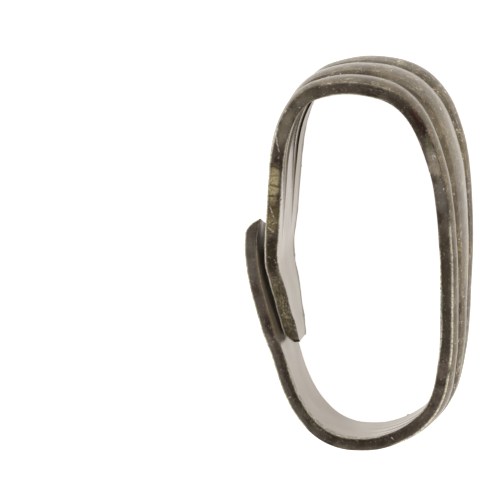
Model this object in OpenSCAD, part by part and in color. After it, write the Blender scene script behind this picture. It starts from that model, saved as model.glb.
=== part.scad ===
// Fold-over pendant bail: one strip of sheet brass, pressed with two long grooves and
// bent into a tall loop whose two ends overlap at the back.
// It lies on its side, as it comes to rest by itself. X runs from the back of the loop
// to its front, Y from its bottom to its top, and Z up, close to the axis of the loop.
// All sizes are in millimetres and all angles in degrees.

/* [Loop] */
// Length of the loop, from its bottom to its top
loop_length = 14.9; // [12:0.1:20]
// Depth of the loop over its back leg and its front, without the flap
loop_depth = 7.6; // [6:0.1:10]

/* [Strip] */
// Width of the strip at the shoulder, where it is widest
strip_width = 5.8; // [4.5:0.1:7.5]
// Thickness of the sheet
strip_thick = 0.5; // [0.4:0.05:0.7]
// Height of the strip's middle over its edges, on the grooved part
camber = 0.13; // [0.05:0.01:0.3]

/* [Lobes and grooves] */
// Height by which each of the three lobes arches over its own edges
lobe_rise = 0.08; // [0.02:0.01:0.15]
// Depth of each groove
groove_depth = 0.2; // [0.1:0.02:0.3]
// Width from which a groove has this depth; a narrower one is shallower in proportion
full_groove_width = 0.5; // [0.3:0.05:0.8]
// Height of the ridge that each groove raises on the inner face
ridge_height = 0.12; // [0.04:0.02:0.2]
// Width of that ridge
ridge_width = 0.4; // [0.2:0.05:0.6]

/* [Ends] */
// Gap between the flap and the back leg under it
flap_gap = 0.2; // [0.1:0.05:0.4]
// Length of the bevel on the outer face of the leg's end
leg_bevel = 0.35; // [0.25:0.05:0.5]
// Thickness that is left at the tip of that bevel
leg_tip_thick = 0.2; // [0.1:0.05:0.3]
// Length of the bevel on the outer face of the flap's tip
flap_bevel = 0.5; // [0.25:0.05:0.8]
// Thickness that is left at the tip of that bevel
flap_tip_thick = 0.12; // [0.1:0.02:0.3]
// How much less far the tip's low corner reaches than its high corner
flap_slant = 1.2; // [0:0.1:1.6]
// Length over which the corners of both ends are rounded
end_round = 0.22; // [0.1:0.02:0.4]

/* [Hidden] */

// Columns of the table of stations
DEPTH = 0; // place from the back leg to the front, as a share of the loop's depth
LENGTH = 1; // place from the bottom to the top, as a share of the loop's length
OUTSIDE = 2; // steps out from the leg's line, each a strip and a gap thick
HEADING = 3; // direction in which the strip runs on, in degrees from the front
WIDTH = 4; // share of the strip's width
RELIEF = 5; // share of the heights of camber, lobes and ridges and of the grooves' depth
NEAR = 6; // where the grooves begin, as a share of the way from the strip's middle to its edge
FAR = 7; // where they end, as such a share
TOUCHES = 8; // where it lies on its low edge: -1 on the inner corner, 1 on the outer, else 0

// Stations along the strip's middle, from the leg's end over the top to the flap's tip
STATIONS = [
    [0.095, 0.265, 0, 97, 0.28, 0.00, 0.30, 0.62, 0], // end of the back leg
    [0.050, 0.380, 0, 99, 0.44, 0.00, 0.30, 0.62, 0],
    [0.002, 0.495, 0, 95, 0.58, 0.00, 0.30, 0.62, 0], // bend of the back leg
    [0.010, 0.575, 0, 85, 0.69, 0.08, 0.30, 0.62, 0],
    [0.044, 0.780, 0, 84, 0.76, 0.80, 0.30, 0.62, 0],
    [0.125, 0.916, 0, 61, 0.81, 1.00, 0.30, 0.62, 0], // corner at the top of the back
    [0.265, 0.980, 0, 20, 0.84, 1.00, 0.29, 0.60, 0],
    [0.460, 1.000, 0, 0, 0.90, 1.00, 0.28, 0.57, 0], // top
    [0.720, 0.975, 0, -29, 0.95, 1.00, 0.29, 0.62, 0],
    [0.900, 0.865, 0, -69, 1.00, 1.00, 0.33, 0.69, -1], // shoulder
    [0.975, 0.725, 0, -83, 0.90, 1.00, 0.38, 0.72, 0],
    [1.000, 0.550, 0, -88, 0.79, 1.00, 0.355, 0.69, 0], // front
    [0.995, 0.380, 0, -91, 0.675, 1.00, 0.255, 0.61, 0],
    [0.975, 0.235, 0, -99, 0.585, 1.00, 0.21, 0.51, 0],
    [0.930, 0.135, 0, -112, 0.53, 0.90, 0.195, 0.33, 0], // corner at the bottom of the front
    [0.590, 0.005, 0, -167, 0.505, 0.20, 0.19, 0.28, 0],
    [0.460, 0.000, 0, -180, 0.505, 0.00, 0.19, 0.28, 0], // bottom
    [0.230, 0.045, 0, -225, 0.515, 0.00, 0.19, 0.28, 1],
    [0.170, 0.078, 0, -233, 0.515, 0.00, 0.30, 0.60, 0],
    [0.095, 0.240, 0.65, -253, 0.52, 0.00, 0.30, 0.60, 0], // foot of the flap
    [0.075, 0.320, 1, -255, 0.585, 0.00, 0.30, 0.60, 1],
    [0.010, 0.625, 1, -285, 0.655, 0.00, 0.30, 0.60, 0] // tip of the flap
];
LAST = len(STATIONS) - 1;
// Rings from each station to the next
SPAN_RINGS = 4;
// Points of a side lobe between its edges, as shares of its width
LOBE_POINTS = [0.25, 0.5, 0.75];
// Rings of a rounded end: how far from it, and how much narrower, as shares of end_round
ROUND_STEPS = [[0, 0.55], [0.5, 0.13], [1, 0]];

// Depth and length that the middle of the sheet covers along the strip's edges, over
// which the top and the front bulge by the camber and the lobes' rise
middle_depth = loop_depth - strip_thick - camber - lobe_rise;
middle_length = loop_length - strip_thick - camber - lobe_rise;
// Step from the leg out to the flap
flap_step = strip_thick + flap_gap;

// Values of one station
function place(i) = [
    STATIONS[i][DEPTH] * middle_depth - STATIONS[i][OUTSIDE] * flap_step,
    STATIONS[i][LENGTH] * middle_length
];
function direction(angle) = [cos(angle), sin(angle)];
function outward(angle) = [-sin(angle), cos(angle)];

// A cubic curve through two values a and b with the slopes da and db, at the share u
function cubic(a, b, da, db, u) =
    (2 * u^3 - 3 * u^2 + 1) * a + (u^3 - 2 * u^2 + u) * da
    + (3 * u^2 - 2 * u^3) * b + (u^3 - u^2) * db;
function cubic_slope(a, b, da, db, u) =
    (6 * u^2 - 6 * u) * (a - b) + (3 * u^2 - 4 * u + 1) * da + (3 * u^2 - 2 * u) * db;

// The strip's line from station i to the next: close to an arc between their headings
function chord(i) = norm(place(i + 1) - place(i));
function reach(i) = chord(i) / cos((STATIONS[i + 1][HEADING] - STATIONS[i][HEADING]) / 4)^2;
function start_slope(i) = reach(i) * direction(STATIONS[i][HEADING]);
function end_slope(i) = reach(i) * direction(STATIONS[i + 1][HEADING]);
function line_point(i, u) = cubic(place(i), place(i + 1), start_slope(i), end_slope(i), u);
function line_angle(i, u) =
    let (d = cubic_slope(place(i), place(i + 1), start_slope(i), end_slope(i), u))
    atan2(d.y, d.x);

// A column of the table, eased from station i to the next
function ease(i, column) =
    i == 0 || i == LAST ? 0
    : (STATIONS[i + 1][column] - STATIONS[i - 1][column]) / (chord(i) + chord(i - 1));
function share(i, u, column) = cubic(
    STATIONS[i][column], STATIONS[i + 1][column],
    ease(i, column) * chord(i), ease(i + 1, column) * chord(i), u);

// Shape of a groove across the strip: 1 in its valley and 0 beyond its banks
function groove_form(w, valley, bank) =
    abs(w - valley) < bank ? (1 + cos(180 * (w - valley) / bank)) / 2 : 0;

// Shape of a lobe across the strip: 1 on its crest and 0 from its edges on
function lobe_form(w, from, to) =
    w > from && w < to ? 1 - ((2 * w - from - to) / (to - from))^2 : 0;

// One cross-section as [place across the strip, height over the sheet's middle].
// Its outer face runs from the low edge to the high edge, and its inner face back.
function section(half, relief, near, far, thick) =
    let (
        bank = (far - near) / 2,
        valley = near + bank,
        rib = min(ridge_width, valley) / 2,
        fullness = min(1, 2 * bank / full_groove_width),
        outer = [
            0, near / 2, near, valley - bank / 2, valley, valley + bank / 2, far,
            for (t = LOBE_POINTS) far + t * (half - far),
            half
        ],
        inner = [0, valley - rib, valley, valley + rib, half],
        bulge = function (w) camber * (1 - (w / half)^2),
        arch = function (w) lobe_form(w, -near, near) + lobe_form(w, far, half),
        high = function (w) thick - strip_thick / 2 + relief * (
            bulge(w) + lobe_rise * arch(w)
            - groove_depth * fullness * groove_form(w, valley, bank)),
        low = function (w) -strip_thick / 2 + relief * (
            bulge(w) - ridge_height * fullness * (w == valley ? 1 : 0))
    )
    [
        for (k = [len(outer) - 1 : -1 : 1]) [-outer[k], high(outer[k])],
        for (w = outer) [w, high(w)],
        for (k = [len(inner) - 1 : -1 : 1]) [inner[k], low(inner[k])],
        for (w = inner) [-w, low(w)]
    ];

// The flap's tip is cut at a slant: a side of -1 is its low corner and 1 its high corner
function slanted(i, u, side) =
    i < LAST - 1 ? u : u * (1 - flap_slant / chord(i) * (1 - side) / 2);

// A ring of points round the strip, stood in the loop before it is laid down
function strip_ring(i, u, narrow = 0, thick = strip_thick) =
    let (
        half = share(i, u, WIDTH) * strip_width / 2 - narrow,
        near = share(i, u, NEAR) * half,
        far = share(i, u, FAR) * half
    )
    [
        for (p = section(half, share(i, u, RELIEF), near, far, thick))
            let (
                v = slanted(i, u, p[0] / half),
                q = line_point(i, v) + p[1] * outward(line_angle(i, v))
            )
            [q.x, q.y, p[0] * share(i, v, WIDTH) / share(i, u, WIDTH)]
    ];

// Thickness at a distance from a bevelled end
function bevelled(from_end, bevel, tip_thick) =
    from_end < bevel ? tip_thick + (strip_thick - tip_thick) * from_end / bevel : strip_thick;
function leg_ring(from_end, narrow = 0) = strip_ring(
    0, from_end / chord(0), narrow, bevelled(from_end, leg_bevel, leg_tip_thick));
function flap_ring(from_end, narrow = 0) = strip_ring(
    LAST - 1, 1 - from_end / chord(LAST - 1), narrow,
    bevelled(from_end, flap_bevel, flap_tip_thick));

leg_done = max(leg_bevel, end_round) / chord(0);
flap_done = max(flap_bevel, end_round) / chord(LAST - 1);
standing_rings = [
    for (s = ROUND_STEPS) leg_ring(s[0] * end_round, s[1] * end_round),
    leg_ring(leg_bevel),
    for (i = [0 : LAST - 1], k = [0 : SPAN_RINGS - 1])
        if (i + k / SPAN_RINGS > leg_done && i + k / SPAN_RINGS < LAST - flap_done)
            strip_ring(i, k / SPAN_RINGS),
    flap_ring(flap_bevel),
    for (k = [len(ROUND_STEPS) - 1 : -1 : 0])
        flap_ring(ROUND_STEPS[k][0] * end_round, ROUND_STEPS[k][1] * end_round)
];

// The plane through the three low corners on which the strip settles
touching = [for (i = [0 : LAST]) if (STATIONS[i][TOUCHES] != 0) i];
function low_corner(i) =
    let (
        n = outward(STATIONS[i][HEADING]),
        bottom = STATIONS[i][WIDTH] * strip_width / 2,
        spot = place(i) + STATIONS[i][TOUCHES] * n * strip_thick / 2
    )
    [spot.x, spot.y, -bottom];
rest_up = cross(
    low_corner(touching[2]) - low_corner(touching[0]),
    low_corner(touching[1]) - low_corner(touching[0]));
rest_normal = rest_up / norm(rest_up);
// Turn that lays this plane level: first about the Y axis, then about the X axis
turn_y = atan2(-rest_normal.x, rest_normal.z);
turn_x = asin(rest_normal.y);
function laid(p) =
    let (
        x = p.x * cos(turn_y) + p.z * sin(turn_y),
        z = p.z * cos(turn_y) - p.x * sin(turn_y)
    )
    [x, p.y * cos(turn_x) - z * sin(turn_x), p.y * sin(turn_x) + z * cos(turn_x)];

laid_rings = [for (r = standing_rings) [for (p = r) laid(p)]];
all_points = [for (r = laid_rings) each r];
low = [for (axis = [0 : 2]) min([for (p = all_points) p[axis]])];
high = [for (axis = [0 : 2]) max([for (p = all_points) p[axis]])];
foot = [(low.x + high.x) / 2, (low.y + high.y) / 2, low.z];

// The whole strip
module bail_strip() {
    n = len(laid_rings[0]);
    count = len(laid_rings);
    points = [for (p = all_points) p - foot];
    sides = [
        for (k = [0 : count - 2], j = [0 : n - 1])
            [k * n + j, (k + 1) * n + j, (k + 1) * n + (j + 1) % n, k * n + (j + 1) % n]
    ];
    first_end = [for (j = [0 : n - 1]) j];
    last_end = [for (j = [n - 1 : -1 : 0]) (count - 1) * n + j];
    color([0.45, 0.40, 0.33]) polyhedron(points, concat(sides, [first_end, last_end]), convexity = 6);
}

bail_strip();
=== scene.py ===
"""Antiqued brass pendant bail: a pressed, tapering strip bent into a loop on a pale floor."""

import bisect
import functools
import math
from collections import namedtuple

import bmesh
import bpy
from mathutils import Matrix, Vector, noise


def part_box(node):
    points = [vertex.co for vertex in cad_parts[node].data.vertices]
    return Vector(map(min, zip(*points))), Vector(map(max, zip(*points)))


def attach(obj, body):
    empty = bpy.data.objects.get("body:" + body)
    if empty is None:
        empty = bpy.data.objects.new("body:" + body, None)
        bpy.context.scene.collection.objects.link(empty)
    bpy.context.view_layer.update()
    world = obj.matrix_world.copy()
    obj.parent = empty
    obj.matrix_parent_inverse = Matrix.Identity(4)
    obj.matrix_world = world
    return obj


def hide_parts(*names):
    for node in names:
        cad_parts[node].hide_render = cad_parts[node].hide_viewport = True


MM = 0.001

# The strip, in the sizes that the frame's strip has
LOOP_LENGTH = 14.9 * MM
LOOP_DEPTH = 7.6 * MM
STRIP_WIDTH = 5.8 * MM
STRIP_THICK = 0.5 * MM
CAMBER = 0.13 * MM
LOBE_RISE = 0.08 * MM
GROOVE_DEPTH = 0.2 * MM
FULL_GROOVE_WIDTH = 0.5 * MM
RIDGE_HEIGHT = 0.12 * MM
RIDGE_HALF = 0.2 * MM
FLAP_GAP = 0.2 * MM
LEG_BEVEL = 0.35 * MM
LEG_TIP_THICK = 0.2 * MM
FLAP_SLANT = 1.2 * MM
END_ROUND = 0.22 * MM
END_NARROW = 0.55 * END_ROUND
MIDDLE_DEPTH = LOOP_DEPTH - STRIP_THICK - CAMBER - LOBE_RISE
MIDDLE_LENGTH = LOOP_LENGTH - STRIP_THICK - CAMBER - LOBE_RISE
EDGE_BAND = 0.12 * MM
FLAP_STEP = STRIP_THICK + FLAP_GAP

# The flap's tip rolls off towards its inner corner, a little more softly than the frame's bevel
FLAP_ROLL = 0.69 * MM
FLAP_ROLL_POWER = 1.7
FLAP_TIP_THICK = 0.07 * MM

# Fine marks that only show close up
THREAD_HEIGHT = 0.09 * MM
THREAD_HALF = 0.05 * MM
THREAD_PLACE = 0.45
OUTER_CORNER = 0.04 * MM
INNER_CORNER = 0.025 * MM
DENT_DEPTH = 0.012 * MM
DENT_SPAN = 1.1 * MM
BURR_HEIGHT = 0.105 * MM
BURR_SPAN = 0.16 * MM
CUT_WOBBLE = 0.008 * MM
WOBBLE_SPAN = 0.48 * MM
WEAR_REACH = 0.16 * MM
# The cutting left a lip along both corners of the back leg, which fades out over the top bend
LIP_HEIGHT = 0.04 * MM
LIP_REACH = 0.13 * MM
LIP_FULL = 7.5 * MM
LIP_ENDS = 10 * MM
LIP_SPAN = 0.5 * MM
# Each fine mark takes its own noise
BURR_SEED, DENT_SEED, WOBBLE_SEED, LIP_SEED, CORNER_SEED = 1, 2, 3, 4, 5

# Painted shade in the crevice between the flap and the leg: up to this length on the outside of
# the leg, and from the flap's foot to the crevice's mouth on the inside of the flap
CREVICE_LEG = 4.2 * MM
CREVICE_FLAP = 36.2 * MM
CREVICE_MOUTH = 39.5 * MM
CREVICE_FADE = 0.6 * MM
CREVICE_SHADE = 0.9
# A painted shade line runs beside each ridge of the inner face, weaker on its high half, and a
# painted highlight lies on the crest next to it. A share of painted shade over 1 turns it black.
RIDGE_SHADE_OFF = 0.03 * MM
RIDGE_SHADE_HALF = 0.08 * MM
LOW_RIDGE_SHADE = 2
HIGH_RIDGE_SHADE = 0.9
CREST_HIGHLIGHT_OFF = 0.19 * MM
CREST_HIGHLIGHT_HALF = 0.07 * MM
# Shreds of painted shade along the high inner corner, round the bottom
CORNER_FROM = 30.2 * MM
CORNER_TO = 34.0 * MM
CORNER_FADE = 2.0 * MM
CORNER_REACH = 0.36 * MM
CORNER_GRAIN = 0.2 * MM
CORNER_SHADE = 0.75
# Two painted shade lines run on where the ridges of the inner face end, at the bottom of the
# front, at these shares of the way from the strip's middle to its high edge
END_SHADE_FROM = 26.6 * MM
END_SHADE_TO = 28.8 * MM
END_SHADE_FADE = 1.0 * MM
END_SHADE_HALF = 0.11 * MM
END_SHADE_LINES = [0.3, 0.72]
END_SHADE_SHARE = 0.7

# Stations along the strip's middle, from the leg's end over the top to the flap's tip.
# Depth and length are shares of the loop's, outside is in steps out from the leg's line,
# heading is in degrees, width is a share of the strip's, relief of the pressed heights,
# middle and shore are where a groove begins and ends, as shares of the way to the strip's edge,
# and thread is the share of the fine ridge in each groove.
Station = namedtuple("Station", "depth length outside heading width relief middle shore thread")
STATIONS = [
    Station(0.095, 0.265, 0, 97, 0.28, 0.00, 0.30, 0.62, 0),  # end of the back leg
    Station(0.050, 0.380, 0, 99, 0.44, 0.00, 0.30, 0.62, 0),
    Station(0.002, 0.495, 0, 95, 0.58, 0.00, 0.30, 0.62, 0),  # bend of the back leg
    Station(0.010, 0.575, 0, 85, 0.69, 0.08, 0.30, 0.62, 0),
    Station(0.044, 0.780, 0, 84, 0.76, 0.80, 0.30, 0.62, 0),
    Station(0.125, 0.916, 0, 61, 0.81, 1.00, 0.30, 0.62, 0),  # corner at the top of the back
    Station(0.265, 0.980, 0, 20, 0.84, 1.00, 0.29, 0.60, 0),
    Station(0.460, 1.000, 0, 0, 0.90, 1.00, 0.28, 0.57, 0),  # top
    Station(0.720, 0.975, 0, -29, 0.95, 1.00, 0.29, 0.62, 0),
    Station(0.900, 0.865, 0, -69, 1.00, 1.00, 0.33, 0.69, 0),  # shoulder
    Station(0.975, 0.725, 0, -83, 0.90, 1.00, 0.38, 0.72, 0.2),
    Station(1.000, 0.550, 0, -88, 0.79, 1.00, 0.355, 0.69, 0.7),  # front
    Station(0.995, 0.380, 0, -91, 0.675, 1.00, 0.255, 0.61, 1),
    Station(0.975, 0.235, 0, -99, 0.585, 1.00, 0.21, 0.51, 1),
    Station(0.930, 0.135, 0, -112, 0.53, 0.90, 0.195, 0.33, 0.6),  # corner under the front
    Station(0.590, 0.005, 0, -167, 0.505, 0.20, 0.19, 0.28, 0),
    Station(0.460, 0.000, 0, -180, 0.505, 0.00, 0.19, 0.28, 0),  # bottom
    Station(0.230, 0.045, 0, -225, 0.515, 0.00, 0.19, 0.28, 0),
    Station(0.170, 0.078, 0, -233, 0.515, 0.00, 0.30, 0.60, 0),
    Station(0.095, 0.240, 0.65, -253, 0.52, 0.00, 0.30, 0.60, 0),  # foot of the flap
    Station(0.075, 0.320, 1, -255, 0.585, 0.00, 0.30, 0.60, 0),
    Station(0.010, 0.625, 1, -285, 0.655, 0.00, 0.30, 0.60, 0),  # tip of the flap
]
LAST = len(STATIONS) - 1
# Stations whose low edges touch the floor, with -1 for the inner corner and 1 for the outer
TOUCHING = {9: -1, 17: 1, 20: 1}

# What each point of the sheet tells the finish, besides its place on the sheet
FACE_MARKS = ("rim", "inside", "pressed", "threads_and_crest_highlight", "wear", "painted_shade", "polish_and_highlight")

# The blank: cells along it, and cells across each of the five bands from its middle to its edge
CELLS_ALONG = 450
END_CELLS = 16
END_LENGTH = 0.7 * MM
END_CROWDING = 1.6
BAND_CELLS = 7
BANDS = 5
RIM_CELLS = 5
LINE_STEPS = 40
# The blank's places are whole numbers, but for rounding
NEARLY = 0.01

# The camera looks at a point 3 mm over the floor, under the loop's middle, and the picture shows
# that point at this pixel. A long lens far away flattens the view as the photograph's is.
PICTURE_SIDE = 500
AIM = Vector((0, 0, 3 * MM))
AIM_PIXEL = (357.23, 256.28)
VIEW_AZIMUTH = math.radians(50.6)
VIEW_ELEVATION = math.radians(81.2)
VIEW_ROLL = math.radians(220.1)
VIEW_DISTANCE = 534 * MM
LENS = 1000
SENSOR = 36
CLIP_START = 0.01
CLIP_END = 10

# The floor glows a little, so that it is nearly white beside the loop too
FLOOR_SIDE = 2.0
FLOOR_COLOUR = (0.85, 0.85, 0.84, 1)
FLOOR_ROUGHNESS = 0.6
FLOOR_GLOW = (1, 1, 0.99, 1)
FLOOR_GLOW_STRENGTH = 0.82

# Light comes from all round, and less of it from overhead. A height in it runs from 0 at the
# horizon to 1 straight up.
SIDE_LIGHT = (1.0, 0.99, 0.97, 1)
SIDE_LIGHT_TO = 0.55
OVERHEAD_LIGHT = (0.31, 0.30, 0.29, 1)
OVERHEAD_LIGHT_FROM = 0.9
LIGHT_STRENGTH = 1.15

# Colours of the finish
DARK_PATINA = (0.070, 0.052, 0.035, 1)
WARM_PATINA = (0.112, 0.086, 0.058, 1)
GREY_PATINA = (0.135, 0.117, 0.093, 1)
GROOVE_BROWN = (0.070, 0.054, 0.036, 1)
LINING = (0.285, 0.254, 0.226, 1)
WARM_LINING = (0.262, 0.229, 0.198, 1)
SHADE_BROWN = (0.210, 0.160, 0.100, 1)
CUT_BROWN = (0.175, 0.138, 0.108, 1)
CUT_DARK = (0.080, 0.060, 0.041, 1)
CUT_BLACK = (0.030, 0.023, 0.013, 1)
CUT_OLIVE = (0.33, 0.285, 0.205, 1)
PALE_OLIVE = (0.46, 0.405, 0.31, 1)
CREAM_BRASS = (0.52, 0.45, 0.33, 1)
GOLDEN_BRASS = (0.56, 0.452, 0.225, 1)
ROUGH_GOLD = (0.78, 0.65, 0.36, 1)
CHALK = (0.85, 0.81, 0.73, 1)
CUT_GREY = (0.26, 0.235, 0.205, 1)
DARK_GOLD = (0.085, 0.062, 0.028, 1)
BROWN_GOLD = (0.215, 0.155, 0.070, 1)
WORN_AND_HIGHLIGHT_CREAM = (0.80, 0.74, 0.59, 1)
WORN_THREAD = (0.52, 0.47, 0.38, 1)
SHADE_BLACK = (0.012, 0.010, 0.008, 1)
RUST = (0.070, 0.038, 0.032, 1)
CUT_RED = (0.16, 0.075, 0.062, 1)
GREENISH = (0.22, 0.26, 0.20, 1)
GREENISH_GOLD = (0.24, 0.225, 0.115, 1)

# Where the upper corners are bright, partly rubbed wear and partly painted highlight: from and to
# where along the strip, in millimetres, the outer corner or the inner one, and how strongly
PolishAndHighlight = namedtuple("PolishAndHighlight", "start end outer strength")
POLISH_AND_HIGHLIGHT = [
    PolishAndHighlight(0.0, 4.6, True, 1.0),
    PolishAndHighlight(3.0, 8.2, False, 0.9),
    PolishAndHighlight(4.8, 8.6, True, 0.8),
    PolishAndHighlight(11.0, 13.4, False, 0.5),
    PolishAndHighlight(11.4, 13.6, True, 0.3),
    PolishAndHighlight(19.6, 24.9, True, 0.7),
    PolishAndHighlight(20.6, 24.9, False, 1.0),
    PolishAndHighlight(22.0, 24.9, True, 1.0),
    PolishAndHighlight(25.2, 27.4, False, 0.6),
    PolishAndHighlight(25.6, 28.9, True, 1.0),
    PolishAndHighlight(29.6, 34.8, False, 0.7),
    PolishAndHighlight(32.6, 40.9, True, 1.0),
]
POLISH_AND_HIGHLIGHT_FADE = 0.35

# How a mark on the cut edge is broken up: not at all, in coarse shreds or in fine dust
PLAIN, RAGGED, DUSTY = "plain", "ragged", "dusty"

# Marks on the upper cut edge, in millimetres along the strip and up from the middle of the
# sheet: how far each reaches both ways, its turn in degrees, its colour, how strong it is
# and how it is broken up
Stain = namedtuple("Stain", "along height long tall turn colour strength breakup")
STAINS = [
    Stain(1.5, 0.0, 1.9, 0.3, 0, CUT_BLACK, 0.85, PLAIN),
    Stain(1.9, 0.02, 1.9, 0.26, 0, ROUGH_GOLD, 0.42, DUSTY),
    Stain(3.7, 0.0, 1.1, 0.3, 0, CUT_BLACK, 0.95, PLAIN),
    Stain(5.3, 0.0, 0.8, 0.26, 0, BROWN_GOLD, 0.85, PLAIN),
    Stain(4.9, 0.05, 0.6, 0.2, 0, ROUGH_GOLD, 0.6, DUSTY),
    Stain(5.65, 0.0, 0.07, 0.3, -12, DARK_GOLD, 0.5, PLAIN),
    Stain(4.6, 0.0, 0.07, 0.3, 15, DARK_GOLD, 0.7, PLAIN),
    Stain(6.55, 0.05, 0.85, 0.23, 0, GOLDEN_BRASS, 0.35, PLAIN),
    Stain(6.55, 0.05, 0.85, 0.23, 0, ROUGH_GOLD, 0.95, RAGGED),
    Stain(7.26, 0.05, 0.05, 0.4, 4, DARK_GOLD, 0.8, RAGGED),
    Stain(6.9, 0.03, 0.04, 0.4, -7, DARK_GOLD, 0.55, RAGGED),
    Stain(6.5, 0.0, 0.06, 0.4, 9, DARK_GOLD, 0.75, RAGGED),
    Stain(6.1, 0.0, 0.06, 0.4, -5, DARK_GOLD, 0.95, RAGGED),
    Stain(7.7, -0.05, 0.45, 0.25, 0, RUST, 0.5, PLAIN),
    Stain(8.9, 0.0, 0.8, 0.25, 0, CUT_OLIVE, 0.7, PLAIN),
    Stain(10.3, 0.0, 0.9, 0.25, 0, CUT_OLIVE, 0.3, PLAIN),
    Stain(11.6, 0.0, 1.3, 0.3, 0, CUT_DARK, 0.5, PLAIN),
    Stain(14.2, -0.2, 0.8, 0.05, 0, CREAM_BRASS, 0.7, DUSTY),
    Stain(14.8, -0.02, 1.3, 0.24, 0, CUT_DARK, 0.75, PLAIN),
    Stain(15.3, 0.1, 0.75, 0.16, 0, RUST, 1, PLAIN),
    Stain(15.0, 0.17, 0.35, 0.06, 0, CUT_RED, 0.9, PLAIN),
    Stain(16.1, 0.12, 0.3, 0.14, 0, GREENISH_GOLD, 0.8, RAGGED),
    Stain(16.9, 0.02, 0.75, 0.24, 0, PALE_OLIVE, 0.4, PLAIN),
    Stain(16.85, 0.05, 0.7, 0.26, 0, PALE_OLIVE, 0.7, RAGGED),
    Stain(16.7, 0.1, 0.13, 0.09, 0, CHALK, 0.6, PLAIN),
    Stain(16.73, 0.11, 0.09, 0.05, 0, CUT_BROWN, 0.6, PLAIN),
    Stain(17.4, 0.1, 0.4, 0.15, 0, PALE_OLIVE, 0.5, DUSTY),
    Stain(18.3, 0.05, 0.9, 0.24, 0, CUT_GREY, 0.5, PLAIN),
    Stain(21.3, -0.05, 2.1, 0.24, 0, CUT_DARK, 0.85, PLAIN),
    Stain(23.6, 0.0, 1.3, 0.2, 0, CUT_DARK, 0.8, PLAIN),
    Stain(22.4, -0.2, 0.6, 0.09, 0, GREENISH, 0.9, PLAIN),
    Stain(23.7, -0.2, 1.0, 0.06, 0, CHALK, 1, RAGGED),
    Stain(29.8, -0.05, 2.4, 0.2, 0, CUT_DARK, 0.7, PLAIN),
    Stain(31.6, -0.17, 2.4, 0.1, 0, CUT_BLACK, 0.7, RAGGED),
    Stain(32.0, -0.22, 2.4, 0.05, 0, CREAM_BRASS, 0.8, DUSTY),
    Stain(32.6, -0.1, 1.3, 0.1, 0, CREAM_BRASS, 0.7, DUSTY),
    Stain(34.8, -0.1, 2.2, 0.12, 0, CUT_DARK, 0.75, PLAIN),
    Stain(34.6, 0.14, 3.6, 0.1, 0, CUT_GREY, 0.4, PLAIN),
    Stain(36.6, -0.08, 0.6, 0.16, 0, CUT_BLACK, 0.6, PLAIN),
    Stain(38.2, 0.0, 0.35, 0.14, 0, RUST, 0.55, PLAIN),
    Stain(39.4, 0.05, 1.3, 0.22, 0, CUT_GREY, 0.5, PLAIN),
]

# Fine bright strokes on the same edge, laid out the same way
Stroke = namedtuple("Stroke", "along height long turn")
STROKES = [
    Stroke(5.45, 0.05, 0.3, -22),
    Stroke(5.0, -0.03, 0.22, 65),
    Stroke(4.75, 0.07, 0.18, -50),
    Stroke(8.3, 0.14, 0.17, -20),
    Stroke(8.15, 0.09, 0.15, -34),
    Stroke(7.95, 0.0, 0.12, -30),
    Stroke(9.9, -0.12, 0.07, 30),
    Stroke(16.68, 0.15, 0.05, 0),
    Stroke(18.0, 0.16, 0.05, 0),
    Stroke(20.95, 0.2, 0.07, 60),
    Stroke(23.4, 0.2, 0.06, 0),
    Stroke(28.95, -0.02, 0.1, 70),
    Stroke(30.4, -0.16, 0.1, 35),
    Stroke(33.7, 0.08, 0.1, 85),
    Stroke(36.3, 0.22, 0.08, 80),
]
STROKE_HALF = 0.03
# A stain thinner than this keeps its outline, and a wider one is stirred
THIN_STAIN = 0.07
# Reach of an oval that covers the whole strip in a direction
EVERYWHERE = 100

# Where the specks are more golden, in millimetres along the strip and across it: how far each
# zone reaches both ways
Zone = namedtuple("Zone", "along across long wide")
GOLDEN_ZONES = [
    Zone(16.2, 0.3, 1.4, 1.5),
    Zone(17.3, -2.3, 1.4, 0.7),
    Zone(17.1, 2.3, 1.0, 0.6),
]
# Between these two places across the strip, in millimetres, the specks weaken by this share
SMOOTH_SIDE = (0.1, 1.2)
SMOOTHED = 0.4
# Hair scratches and bright sparks on the faces: their directions, in radians from the strip's
# length, how finely they are drawn each way, and where in their noise they begin and are full
HAIR_TURNS = [0.3, 1.25, 2.3]
HAIR_SCALE = (4.0, 24.0, 12.0)
HAIR_SHOWS = (0.67, 0.75)
SPARK_TURNS = [0.75, 1.9, -0.15]
SPARK_SCALE = (3.4, 16.0, 9.0)
SPARK_SHOWS = (0.725, 0.775)

# Roughness of the patina, and what its patches, the cut edge and full painted shade add to it
BASE_ROUGHNESS = 0.14
PATCH_ROUGHNESS = 0.16
LINING_PATCH_ROUGHNESS = 0.03
RIM_ROUGHNESS = 0.1
SHADE_ROUGHNESS = 0.2
# How much less of a metal full painted shade is
SHADE_DULLS = 0.75
SHINE_TINT = (1.0, 0.975, 0.945, 1)
# The finest relief, which is weaker on the inner face
GRAIN_HEIGHT = 0.008 * MM
GRAIN_STRENGTH = 0.25
LINING_GRAIN_STRENGTH = 0.05


def place(i):
    """Where station i lies, from the back of the standing loop to its front and up its length."""
    s = STATIONS[i]
    return Vector((s.depth * MIDDLE_DEPTH - s.outside * FLAP_STEP, s.length * MIDDLE_LENGTH))


def direction(heading):
    return Vector((math.cos(math.radians(heading)), math.sin(math.radians(heading))))


def chord(i):
    return (place(i + 1) - place(i)).length


def cubic(a, b, da, db, u):
    """A cubic through a and b with the slopes da and db, at the share u."""
    return (
        (2 * u**3 - 3 * u**2 + 1) * a
        + (u**3 - 2 * u**2 + u) * da
        + (3 * u**2 - 2 * u**3) * b
        + (u**3 - u**2) * db
    )


def cubic_slope(a, b, da, db, u):
    return (6 * u**2 - 6 * u) * (a - b) + (3 * u**2 - 4 * u + 1) * da + (3 * u**2 - 2 * u) * db


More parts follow.
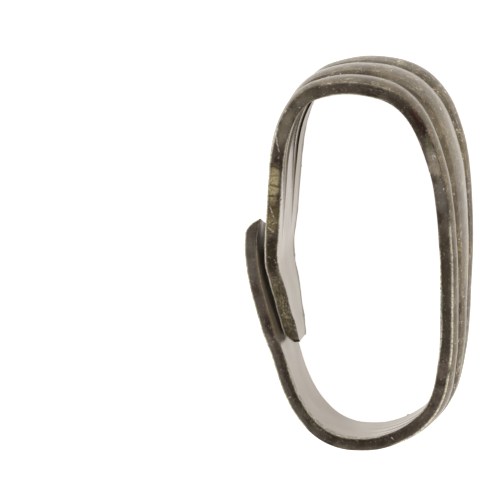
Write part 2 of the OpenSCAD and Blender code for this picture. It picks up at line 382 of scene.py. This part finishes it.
@functools.lru_cache(maxsize=None)
def span(i):
    """Both ends of the strip's line from station i to the next, with its slopes there."""
    turn = math.radians(STATIONS[i + 1].heading - STATIONS[i].heading)
    reach = chord(i) / math.cos(turn / 4) ** 2
    return (
        place(i),
        place(i + 1),
        reach * direction(STATIONS[i].heading),
        reach * direction(STATIONS[i + 1].heading),
    )


def eased(i, u, column):
    """A column of the stations, eased from station i to the next."""

    def slope(k):
        if k in (0, LAST):
            return 0
        rise = getattr(STATIONS[k + 1], column) - getattr(STATIONS[k - 1], column)
        return rise / (chord(k) + chord(k - 1))

    a, b = getattr(STATIONS[i], column), getattr(STATIONS[i + 1], column)
    return cubic(a, b, slope(i) * chord(i), slope(i + 1) * chord(i), u)


def measured_line():
    """Lengths along the strip's line, with the span and the share of it at each."""
    lengths, spots = [0.0], [(0, 0.0)]
    last = place(0)
    for i in range(LAST):
        for k in range(1, LINE_STEPS + 1):
            point = cubic(*span(i), k / LINE_STEPS)
            lengths.append(lengths[-1] + (point - last).length)
            spots.append((i, k / LINE_STEPS))
            last = point
    return lengths, spots


LENGTHS, SPOTS = measured_line()
STRIP_LENGTH = LENGTHS[-1]
TIP_SPAN = STRIP_LENGTH - LENGTHS[-1 - LINE_STEPS]


@functools.lru_cache(maxsize=None)
def spot(along):
    """The span and the share of it at a length along the strip."""
    k = min(max(bisect.bisect_right(LENGTHS, along), 1), len(LENGTHS) - 1)
    i, u = SPOTS[k]
    part = (LENGTHS[k] - along) / (LENGTHS[k] - LENGTHS[k - 1])
    return i, min(max(u - part / LINE_STEPS, 0), 1)


@functools.lru_cache(maxsize=None)
def half_width(along):
    return eased(*spot(along), "width") * STRIP_WIDTH / 2


def slanted(along, side):
    """The tip is cut at a slant: side runs from -1 at its low corner to 1 at its high corner."""
    into_tip = along - (STRIP_LENGTH - TIP_SPAN)
    return along - max(into_tip, 0) * FLAP_SLANT / TIP_SPAN * (1 - side) / 2


Cut = namedtuple("Cut", "half relief middle shore thread thick")


@functools.lru_cache(maxsize=None)
def cut(along):
    """The sizes of the cross-section at a length along the strip."""
    i, u = spot(along)
    half = half_width(along)
    from_tip = STRIP_LENGTH - along
    for left in (along, from_tip):
        half -= END_NARROW * max(0, 1 - left / END_ROUND) ** 2
    thick = STRIP_THICK
    if along < LEG_BEVEL:
        thick += (LEG_TIP_THICK - STRIP_THICK) * (1 - along / LEG_BEVEL)
    if from_tip < FLAP_ROLL:
        thick += (FLAP_TIP_THICK - STRIP_THICK) * (1 - from_tip / FLAP_ROLL) ** FLAP_ROLL_POWER
    middle, shore = eased(i, u, "middle") * half, eased(i, u, "shore") * half
    return Cut(half, eased(i, u, "relief"), middle, shore, eased(i, u, "thread"), thick)


def fullness(c):
    """Share of its depth that a groove has: a narrow one is shallower."""
    return min(1, (c.shore - c.middle) / FULL_GROOVE_WIDTH)


def groove(c, w):
    """Shape of a groove across the strip: 1 in its valley and 0 beyond its banks."""
    off = (abs(w) - c.middle) / (c.shore - c.middle) * 2 - 1
    return (1 + math.cos(math.pi * off)) / 2 if abs(off) < 1 else 0


def arch(c, w):
    """Rise of the three lobes: 1 at the crest of each and 0 at its edges."""
    if abs(w) <= c.middle:
        return 1 - (w / c.middle) ** 2
    if abs(w) < c.shore:
        return 0
    return 1 - ((2 * abs(w) - c.half - c.shore) / (c.half - c.shore)) ** 2


def ridge(c, w):
    """Shape of the ridge that each groove raises on the inner face."""
    off = (abs(w) - (c.middle + c.shore) / 2) / RIDGE_HALF
    return max(0, 1 - abs(off)) ** 1.5 if abs(off) < 1 else 0


def beside_ridge(c, w, off, reach):
    """1 on a line beside each ridge of the inner face, at its high side, and 0 away from it."""
    away = w - math.copysign((c.middle + c.shore) / 2, w) - off
    return c.relief * fullness(c) * math.exp(-((away / reach) ** 2))


def thread(c, w):
    """The fine ridge that stands in a groove, near its inner bank."""
    off = (abs(w) - c.middle - THREAD_PLACE * (c.shore - c.middle)) / THREAD_HALF
    return c.thread * math.exp(-(off**2))


def bulge(c, w):
    return CAMBER * (1 - (w / c.half) ** 2)


def dulled(from_edge, radius):
    """How far a rounded corner drops below the face that it ends, near the edge."""
    if from_edge >= radius:
        return 0
    return radius - math.sqrt(radius**2 - (radius - from_edge) ** 2)


def step(value, low, high):
    """0 where the value is at low or beyond it, 1 at high or beyond it, and smooth between."""
    t = min(max((value - low) / (high - low), 0), 1)
    return t * t * (3 - 2 * t)


def within(value, start, end, fade):
    """1 from start to end, and smoothly down to 0 at the distance fade beyond them."""
    return step(value, start - fade, start) * step(value, end + fade, end)


def lip(along, from_edge):
    """How far the lip stands out from a face, near the edge."""
    if from_edge >= LIP_REACH:
        return 0
    uneven = 0.85 + 0.5 * roughly(along, 0, LIP_SPAN, LIP_SEED)
    height = LIP_HEIGHT * uneven * step(along, LIP_ENDS, LIP_FULL)
    return height * (1 - from_edge / LIP_REACH) ** 1.5


def painted_shade(along, w, c, inside):
    """Share of painted shade on a face, and over 1 where it is black."""
    if not inside:
        return CREVICE_SHADE * step(along, CREVICE_LEG + CREVICE_FADE, CREVICE_LEG)
    crevice = CREVICE_SHADE * within(along, CREVICE_FLAP, CREVICE_MOUTH, CREVICE_FADE)
    ridge_shade = HIGH_RIDGE_SHADE if w > 0 else LOW_RIDGE_SHADE
    ridge_shade *= beside_ridge(c, w, RIDGE_SHADE_OFF, RIDGE_SHADE_HALF)
    corner = CORNER_SHADE * within(along, CORNER_FROM, CORNER_TO, CORNER_FADE)
    corner *= step(c.half - w, CORNER_REACH, 0)
    corner *= step(roughly(along, w, CORNER_GRAIN, CORNER_SEED), -0.3, 0.2)
    end_shade = END_SHADE_SHARE * within(along, END_SHADE_FROM, END_SHADE_TO, END_SHADE_FADE)
    end_shade *= max(math.exp(-(((w - line * c.half) / END_SHADE_HALF) ** 2)) for line in END_SHADE_LINES)
    return max(crevice, ridge_shade, corner, end_shade)


def polish_and_highlight(along, outer):
    """How bright an upper corner is, partly rubbed wear and partly painted highlight."""
    return max(
        p.strength * within(along / MM, p.start, p.end, POLISH_AND_HIGHLIGHT_FADE)
        for p in POLISH_AND_HIGHLIGHT
        if p.outer == outer
    )


def outer_height(c, w):
    from_edge = max(c.half - abs(w), 0)
    pressed = bulge(c, w) + LOBE_RISE * arch(c, w)
    pressed += fullness(c) * (THREAD_HEIGHT * thread(c, w) - GROOVE_DEPTH * groove(c, w))
    corner = min(OUTER_CORNER, c.thick / 3)
    return c.thick - STRIP_THICK / 2 + c.relief * pressed - dulled(from_edge, corner)


def inner_height(c, w):
    corner = min(INNER_CORNER, c.thick / 3)
    pressed = c.relief * (bulge(c, w) - RIDGE_HEIGHT * fullness(c) * ridge(c, w))
    return -STRIP_THICK / 2 + pressed + dulled(max(c.half - abs(w), 0), corner)


def across_at(c, band):
    """Place across a face of a point that lies in one of the five bands, counted from 0."""
    level = c.half - EDGE_BAND
    marks = [0, c.middle, (c.middle + c.shore) / 2, c.shore, level]
    k = min(int(band), BANDS - 1)
    if k == BANDS - 1:
        return level + EDGE_BAND * math.sin((band - k) * math.pi / 2)
    return marks[k] + (band - k) * (marks[k + 1] - marks[k])


def along_at(share):
    """Length along the strip at a share of the blank's cells, which crowd towards both ends."""
    cell = share * CELLS_ALONG
    from_end = min(cell, CELLS_ALONG - cell)
    if from_end < END_CELLS:
        length = END_LENGTH * (from_end / END_CELLS) ** END_CROWDING
        return length if cell < END_CELLS else STRIP_LENGTH - length
    middle_cells = CELLS_ALONG - 2 * END_CELLS
    return END_LENGTH + (cell - END_CELLS) / middle_cells * (STRIP_LENGTH - 2 * END_LENGTH)


def roughly(x, y, spread, seed):
    """Smooth noise about zero, over a spread in metres."""
    return noise.noise(Vector((x / spread, y / spread, seed)))


def cut_blank():
    """A flat blank of two faces and a rim.

    X runs along the strip, Y counts bands from its middle, and Z is the thickness.
    """
    bm = bmesh.new()
    bmesh.ops.create_grid(bm, x_segments=CELLS_ALONG, y_segments=2 * BANDS * BAND_CELLS, size=0.5)
    bmesh.ops.scale(bm, vec=Vector((1, 2 * BANDS, 1)), verts=bm.verts)
    bmesh.ops.translate(bm, vec=Vector((0.5, 0, 0)), verts=bm.verts)
    made = bmesh.ops.extrude_face_region(bm, geom=bm.faces[:], use_keep_orig=True)
    lifted = [g for g in made["geom"] if isinstance(g, bmesh.types.BMVert)]
    bmesh.ops.translate(bm, vec=Vector((0, 0, 1)), verts=lifted)
    uprights = [e for e in bm.edges if abs(e.verts[0].co.z - e.verts[1].co.z) > 0.5]
    bmesh.ops.subdivide_edges(bm, edges=uprights, cuts=RIM_CELLS - 1, use_grid_fill=True)
    bmesh.ops.recalc_face_normals(bm, faces=bm.faces)
    return bm


def press(bm):
    """Tapers the blank and presses its grooves, lobes and camber.

    Each point gets the marks that the finish reads.
    """
    sheet = bm.verts.layers.float_vector.new("sheet")
    rim, inside, pressed, threads_and_crest_highlight, wear, dark, bright = (
        bm.verts.layers.float.new(name)
        for name in FACE_MARKS
    )
    for v in bm.verts:
        share, band, level = v.co
        share = min(max(share, 0), 1)
        along = along_at(share)
        c = cut(along)
        side = math.copysign(1, band)
        edge = abs(band) > BANDS - NEARLY
        w = side * across_at(c, abs(band))
        high, low = outer_height(c, w), inner_height(c, w)
        if edge and level < NEARLY:
            low -= BURR_HEIGHT * max(roughly(along, side, BURR_SPAN, BURR_SEED), 0) ** 2
        high += lip(along, c.half - abs(w))
        low -= lip(along, c.half - abs(w))
        dent = DENT_DEPTH * roughly(along, w, DENT_SPAN, DENT_SEED)
        height = low + (high - low) * level + dent
        v[sheet] = Vector((along, w, height)) / MM
        v[rim] = 1 if edge or share in (0, 1) else 0
        v[inside] = 1 - level
        v[pressed] = c.relief * groove(c, w)
        # On the inner face this mark is a painted highlight along the crest beside each ridge, and
        # on the outer face it is the fine thread
        crest = beside_ridge(c, w, CREST_HIGHLIGHT_OFF, CREST_HIGHLIGHT_HALF)
        v[threads_and_crest_highlight] = thread(c, w) * level + crest * (1 - level)
        cut_open = edge and NEARLY < level < 1 - NEARLY
        # Painted shade in the crevice, beside and at the ends of the inner ridges and along the
        # high inner corner
        v[dark] = 0 if cut_open else painted_shade(along, w, c, level < 0.5)
        from_corner = min(level, 1 - level) * c.thick if edge else c.half - abs(w)
        v[wear] = max(0, 1 - from_corner / WEAR_REACH)
        # Bright upper corners, partly rubbed wear and partly painted highlight
        v[bright] = polish_and_highlight(along, level > 0.5) if side > 0 else 0
        wobble = side * CUT_WOBBLE * roughly(along, side, WOBBLE_SPAN, WOBBLE_SEED) if edge else 0
        at = slanted(along, w / c.half)
        v.co = (at, w * half_width(at) / half_width(along) + wobble, height)


def bend(bm):
    """Bends the flat strip round its line: X then runs to the front, Y up and Z across."""
    for v in bm.verts:
        along, across, height = v.co
        i, u = spot(along)
        point = cubic(*span(i), u)
        slope = cubic_slope(*span(i), u).normalized()
        v.co = (point.x - height * slope.y, point.y + height * slope.x, across)


def low_corner(i):
    """The low corner at a station of the standing loop, on the face that touches the floor."""
    ahead = direction(STATIONS[i].heading)
    at = place(i) + TOUCHING[i] * Vector((-ahead.y, ahead.x)) * STRIP_THICK / 2
    return Vector((at.x, at.y, -STATIONS[i].width * STRIP_WIDTH / 2))


def lay(bm):
    """Lays the loop down on the three corners that it rests on, where the frame's strip lies."""
    first, second, third = (low_corner(i) for i in TOUCHING)
    up = (third - first).cross(second - first).normalized()
    turn_y = Matrix.Rotation(math.atan2(-up.x, up.z), 3, "Y")
    turn_x = Matrix.Rotation(math.asin(up.y), 3, "X")
    bmesh.ops.transform(bm, matrix=(turn_x @ turn_y).to_4x4(), verts=bm.verts)
    low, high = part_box("bail_strip")
    own_low = Vector([min(v.co[k] for v in bm.verts) for k in range(3)])
    own_high = Vector([max(v.co[k] for v in bm.verts) for k in range(3)])
    shift = (low + high - own_low - own_high) / 2
    shift.z = low.z - own_low.z
    bmesh.ops.translate(bm, vec=shift, verts=bm.verts)


def make_strip():
    bm = cut_blank()
    press(bm)
    bend(bm)
    lay(bm)
    mesh = bpy.data.meshes.new("bail")
    bm.to_mesh(mesh)
    bm.free()
    mesh.shade_smooth()
    piece = bpy.data.objects.new("bail", mesh)
    bpy.context.scene.collection.objects.link(piece)
    return piece


def place_camera():
    """The camera, far above the floor and nearly over the loop."""
    level = math.cos(VIEW_ELEVATION)
    east, north = level * math.cos(VIEW_AZIMUTH), level * math.sin(VIEW_AZIMUTH)
    back = Vector((east, north, math.sin(VIEW_ELEVATION)))
    right = Vector((0, 0, 1)).cross(back).normalized()
    up = back.cross(right)
    turned_right = right * math.cos(VIEW_ROLL) + up * math.sin(VIEW_ROLL)
    turned_up = up * math.cos(VIEW_ROLL) - right * math.sin(VIEW_ROLL)
    per_pixel = VIEW_DISTANCE * SENSOR / LENS / PICTURE_SIDE
    off_x = (AIM_PIXEL[0] - PICTURE_SIDE / 2) * per_pixel
    off_y = (PICTURE_SIDE / 2 - AIM_PIXEL[1]) * per_pixel
    data = bpy.data.cameras.new("camera")
    data.lens = LENS
    data.sensor_width = SENSOR
    data.clip_start = CLIP_START
    data.clip_end = CLIP_END
    camera = bpy.data.objects.new("camera", data)
    spot_at = AIM + back * VIEW_DISTANCE - turned_right * off_x - turned_up * off_y
    turn = Matrix((turned_right, turned_up, back)).transposed().to_4x4()
    camera.matrix_world = Matrix.Translation(spot_at) @ turn
    bpy.context.scene.collection.objects.link(camera)
    bpy.context.scene.camera = camera


def make_floor():
    bm = bmesh.new()
    bmesh.ops.create_grid(bm, x_segments=1, y_segments=1, size=FLOOR_SIDE / 2)
    mesh = bpy.data.meshes.new("floor")
    bm.to_mesh(mesh)
    bm.free()
    floor = bpy.data.objects.new("floor", mesh)
    bpy.context.scene.collection.objects.link(floor)
    material = bpy.data.materials.new("floor")
    material.use_nodes = True
    shader = material.node_tree.nodes["Principled BSDF"]
    shader.inputs["Base Color"].default_value = FLOOR_COLOUR
    shader.inputs["Roughness"].default_value = FLOOR_ROUGHNESS
    shader.inputs["Emission Color"].default_value = FLOOR_GLOW
    shader.inputs["Emission Strength"].default_value = FLOOR_GLOW_STRENGTH
    mesh.materials.append(material)


def light_world():
    world = bpy.data.worlds.new("studio")
    bpy.context.scene.world = world
    world.use_nodes = True
    tree = world.node_tree
    background = tree.nodes["Background"]
    where = tree.nodes.new("ShaderNodeTexCoord")
    parts = tree.nodes.new("ShaderNodeSeparateXYZ")
    ramp = tree.nodes.new("ShaderNodeValToRGB")
    tree.links.new(where.outputs["Generated"], parts.inputs["Vector"])
    tree.links.new(parts.outputs["Z"], ramp.inputs["Fac"])
    tree.links.new(ramp.outputs["Color"], background.inputs["Color"])
    ramp.color_ramp.elements[0].position = SIDE_LIGHT_TO
    ramp.color_ramp.elements[0].color = SIDE_LIGHT
    ramp.color_ramp.elements[1].position = OVERHEAD_LIGHT_FROM
    ramp.color_ramp.elements[1].color = OVERHEAD_LIGHT
    background.inputs["Strength"].default_value = LIGHT_STRENGTH


class Finish:
    """A material's nodes, with short ways to add what the patina needs."""

    def __init__(self, name):
        self.material = bpy.data.materials.new(name)
        self.material.use_nodes = True
        self.tree = self.material.node_tree
        self.shader = self.tree.nodes["Principled BSDF"]

    def put(self, kind, inputs, **settings):
        """Adds a node with its settings, and links its inputs or gives them their values."""
        node = self.tree.nodes.new(kind)
        for name, value in settings.items():
            setattr(node, name, value)
        for name, value in inputs.items():
            self.feed(node.inputs[name], value)
        return node

    def feed(self, socket, value):
        if isinstance(value, bpy.types.NodeSocket):
            self.tree.links.new(value, socket)
        else:
            socket.default_value = value

    def mark(self, name):
        """A mark that the pressing left on the mesh."""
        return self.put("ShaderNodeAttribute", {}, attribute_name=name)

    def reckon(self, operation, a, b, clamp):
        node = self.put("ShaderNodeMath", {0: a, 1: b}, operation=operation, use_clamp=clamp)
        return node.outputs[0]

    def plus(self, a, b):
        return self.reckon("ADD", a, b, False)

    def less(self, a, b, clamp=False):
        return self.reckon("SUBTRACT", a, b, clamp)

    def times(self, a, b, clamp=False):
        return self.reckon("MULTIPLY", a, b, clamp)

    def larger(self, a, b):
        return self.reckon("MAXIMUM", a, b, False)

    def between(self, value, low, high):
        """0 where the value is at low or under it, 1 at high or over it, and smooth between."""
        inputs = {"Value": value, "From Min": low, "From Max": high}
        return self.put("ShaderNodeMapRange", inputs, interpolation_type="SMOOTHSTEP").outputs[0]

    def cloud(self, where, scale, detail=3.0, roughness=0.55):
        inputs = {"Vector": where, "Scale": scale, "Detail": detail, "Roughness": roughness}
        return self.put("ShaderNodeTexNoise", inputs).outputs["Fac"]

    def turned(self, where, shift, turn, scale):
        """The sheet's coordinates moved, turned in the sheet's plane and then stretched."""
        inputs = {"Vector": where, "Location": shift, "Rotation": (0, 0, turn)}
        inputs = {"Vector": self.put("ShaderNodeMapping", inputs).outputs[0], "Scale": scale}
        return self.put("ShaderNodeMapping", inputs).outputs[0]

    def stirred(self, where, scale, reach):
        """The sheet's coordinates, pushed about by smooth noise."""
        inputs = {"Vector": where, "Scale": scale, "Detail": 2.0}
        inputs = {0: self.put("ShaderNodeTexNoise", inputs).outputs["Color"], 1: (0.5, 0.5, 0.5)}
        push = self.put("ShaderNodeVectorMath", inputs, operation="SUBTRACT").outputs[0]
        inputs = {0: push, 1: (reach, reach, reach), 2: where}
        return self.put("ShaderNodeVectorMath", inputs, operation="MULTIPLY_ADD").outputs[0]

    def oval(self, where, middle, reach, turn=0):
        """1 inside an oval on the sheet and 0 outside it.

        Its middle and its reach are given along, across and through the sheet. It is turned in
        the plane of the cut edge, in degrees.
        """
        inputs = {
            "Vector": where,
            "Location": middle,
            "Rotation": (0, math.radians(turn), 0),
            "Scale": reach,
        }
        oval = self.put("ShaderNodeMapping", inputs, vector_type="TEXTURE").outputs[0]
        away = self.put("ShaderNodeVectorMath", {0: oval}, operation="LENGTH").outputs["Value"]
        return self.between(away, 1.1, 0.5)

    def blend(self, a, b, share):
        return self.put("ShaderNodeMix", {0: share, 6: a, 7: b}, data_type="RGBA").outputs[2]


def cut_edge(f, where, patches, broad, grain, fine):
    """Colour of the cut edge, with its stains and strokes on the upper side."""
    across = f.put("ShaderNodeSeparateXYZ", {"Vector": where}).outputs["Y"]
    upper = f.between(across, 0.0, 0.3)
    mottled = f.cloud(where, 4.0, 4.0, 0.65)
    colour = f.blend(CUT_DARK, CUT_BROWN, f.between(patches, 0.34, 0.52))
    colour = f.blend(colour, CUT_OLIVE, f.times(f.between(broad, 0.55, 0.68), 0.6))
    colour = f.blend(colour, CUT_DARK, f.times(f.between(mottled, 0.52, 0.64), 0.45))
    drawn = f.cloud(f.turned(where, (0, 0, 0), 0.0, (0.7, 1.0, 9.0)), 1.0, 3.0)
    colour = f.blend(colour, CUT_OLIVE, f.times(f.between(drawn, 0.52, 0.70), 0.35))
    stirred = f.stirred(where, 3.5, 0.16)
    breakups = {
        PLAIN: 1.0,
        RAGGED: f.plus(0.3, f.times(f.between(grain, 0.40, 0.54), 0.7)),
        DUSTY: f.between(fine, 0.50, 0.62),
    }
    for stain in STAINS:
        thin = min(stain.long, stain.tall) < THIN_STAIN
        middle, reach = (stain.along, 0, stain.height), (stain.long, EVERYWHERE, stain.tall)
        oval = f.oval(where if thin else stirred, middle, reach, stain.turn)
        share = f.times(f.times(oval, breakups[stain.breakup]), upper)
        colour = f.blend(colour, stain.colour, f.times(share, stain.strength))
    strokes = 0.0
    for stroke in STROKES:
        middle, reach = (stroke.along, 0, stroke.height), (stroke.long, EVERYWHERE, STROKE_HALF)
        strokes = f.larger(strokes, f.oval(where, middle, reach, stroke.turn))
    strokes = f.times(f.times(strokes, upper), f.between(grain, 0.42, 0.54))
    flecks = f.times(f.between(grain, 0.60, 0.70), 0.35)
    dusty = f.times(f.between(mottled, 0.48, 0.40), 0.3)
    dust = f.times(f.between(fine, 0.60, 0.68), dusty)
    bright = f.larger(f.times(strokes, 0.85), f.larger(flecks, dust))
    return f.blend(colour, CHALK, bright)


def antiqued_brass():
    """Brass under a dark brown patina, rubbed through in specks, scratches and along its edges,
    with painted shade and highlights.
    """
    f = Finish("antiqued_brass")
    where = f.mark("sheet").outputs["Vector"]
    rim, inside, pressed, threads_and_crest_highlight, wear, dark, polish_and_highlight_share = (
        f.mark(name).outputs["Fac"]
        for name in FACE_MARKS
    )

    broad = f.cloud(where, 0.4, 2.0)
    patches = f.cloud(where, 1.3, 5.0, 0.6)
    streaks = f.cloud(f.turned(where, (0, 0, 0), 0.1, (0.25, 1.4, 1)), 1.0, 3.0)
    grain = f.cloud(where, 12.0, 3.0, 0.65)
    fine = f.cloud(where, 22.0, 2.0, 0.6)

    colour = f.blend(DARK_PATINA, WARM_PATINA, f.between(patches, 0.36, 0.6))
    colour = f.blend(colour, GREY_PATINA, f.between(streaks, 0.48, 0.66))
    colour = f.blend(colour, GROOVE_BROWN, f.times(f.between(pressed, 0.3, 0.9), 0.6))
    clusters = f.times(f.between(f.cloud(where, 2.6, 3.0), 0.42, 0.62), 0.06)
    dots = f.between(f.plus(fine, clusters), 0.59, 0.72)
    bare = f.times(dots, 0.5)
    for turn in HAIR_TURNS:
        hairs = f.cloud(f.turned(where, (turn, 0, 0), turn, HAIR_SCALE), 1.0, 2.0)
        hairs = f.between(f.plus(hairs, clusters), *HAIR_SHOWS)
        bare = f.larger(bare, f.times(hairs, 0.65))
    across = f.put("ShaderNodeSeparateXYZ", {"Vector": where}).outputs["Y"]
    kept = f.less(1.0, f.times(f.between(across, *SMOOTH_SIDE), SMOOTHED))
    bare = f.times(bare, kept)
    rubbed_threads = f.times(f.between(threads_and_crest_highlight, 0.3, 0.8), f.between(fine, 0.42, 0.60))
    sparks = 0.0
    for turn in SPARK_TURNS:
        dashes = f.cloud(f.turned(where, (turn, 0, 0), turn, SPARK_SCALE), 1.0, 2.0)
        sparks = f.larger(sparks, f.between(f.plus(dashes, clusters), *SPARK_SHOWS))
    golden = f.between(broad, 0.56, 0.66)
    drifting = f.stirred(where, 1.1, 1.6)
    for zone in GOLDEN_ZONES:
        middle, reach = (zone.along, zone.across, 0), (zone.long, zone.wide, EVERYWHERE)
        golden = f.larger(golden, f.oval(drifting, middle, reach))
    colour = f.blend(colour, GOLDEN_BRASS, f.times(golden, 0.035))
    colour = f.blend(colour, f.blend(CREAM_BRASS, GOLDEN_BRASS, golden), bare)
    colour = f.blend(colour, WORN_AND_HIGHLIGHT_CREAM, f.times(f.times(sparks, 0.75), kept))
    colour = f.blend(colour, WORN_THREAD, rubbed_threads)

    lining = f.blend(LINING, WARM_LINING, f.between(broad, 0.4, 0.6))
    lining = f.blend(lining, WARM_PATINA, f.times(f.between(fine, 0.60, 0.72), 0.5))
    # Painted highlight: a bright line along the crest beside each ridge of the inner face
    lining = f.blend(lining, CHALK, f.between(threads_and_crest_highlight, 0.5, 0.9))
    colour = f.blend(colour, lining, inside)
    colour = f.blend(colour, cut_edge(f, where, patches, broad, grain, fine), rim)
    # Painted shade: darker brown as the share grows, and black where it passes 1
    shade_share = f.times(dark, f.plus(0.75, f.times(grain, 0.5)), clamp=True)
    colour = f.blend(colour, SHADE_BROWN, shade_share)
    colour = f.blend(colour, SHADE_BLACK, f.between(dark, 0.9, 1.5))
    worn_edge = f.times(f.between(wear, 0.7, 1.0), f.between(grain, 0.44, 0.60))
    worn_edge = f.times(worn_edge, f.between(patches, 0.38, 0.6))
    colour = f.blend(colour, CREAM_BRASS, f.times(worn_edge, 0.6))
    # Bright upper corners, partly rubbed wear and partly painted highlight
    shreds = f.plus(0.45, f.times(f.between(grain, 0.40, 0.54), 0.55))
    shreds = f.times(shreds, f.between(wear, 0.70, 0.95))
    colour = f.blend(colour, WORN_AND_HIGHLIGHT_CREAM, f.times(shreds, polish_and_highlight_share))

    steadier = f.times(inside, PATCH_ROUGHNESS - LINING_PATCH_ROUGHNESS)
    uneven = f.times(patches, f.less(PATCH_ROUGHNESS, steadier))
    roughness = f.plus(f.plus(BASE_ROUGHNESS, uneven), f.times(rim, RIM_ROUGHNESS))
    roughness = f.plus(roughness, f.times(shade_share, SHADE_ROUGHNESS))
    height = f.plus(f.times(grain, 0.5), f.times(bare, 0.5))
    lining_only = f.less(inside, rim, clamp=True)
    weaker = f.times(lining_only, GRAIN_STRENGTH - LINING_GRAIN_STRENGTH)
    strength = f.less(GRAIN_STRENGTH, weaker)
    inputs = {"Strength": strength, "Distance": GRAIN_HEIGHT, "Height": height}
    bump = f.put("ShaderNodeBump", inputs)

    f.feed(f.shader.inputs["Base Color"], colour)
    f.feed(f.shader.inputs["Metallic"], f.less(1.0, f.times(shade_share, SHADE_DULLS)))
    f.shader.inputs["Specular IOR Level"].default_value = 0
    f.shader.inputs["Specular Tint"].default_value = SHINE_TINT
    f.feed(f.shader.inputs["Roughness"], roughness)
    f.feed(f.shader.inputs["Normal"], bump.outputs[0])
    return f.material


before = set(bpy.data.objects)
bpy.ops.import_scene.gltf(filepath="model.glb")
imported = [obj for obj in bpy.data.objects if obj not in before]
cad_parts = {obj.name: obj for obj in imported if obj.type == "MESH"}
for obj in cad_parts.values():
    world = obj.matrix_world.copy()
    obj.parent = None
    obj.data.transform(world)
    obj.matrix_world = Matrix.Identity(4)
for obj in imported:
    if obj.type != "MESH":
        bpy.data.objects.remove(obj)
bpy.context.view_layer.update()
bpy.context.scene.view_settings.view_transform = "Standard"
place_camera()
make_floor()
light_world()
strip = make_strip()
strip.data.materials.append(antiqued_brass())
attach(strip, "root")
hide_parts("bail_strip")
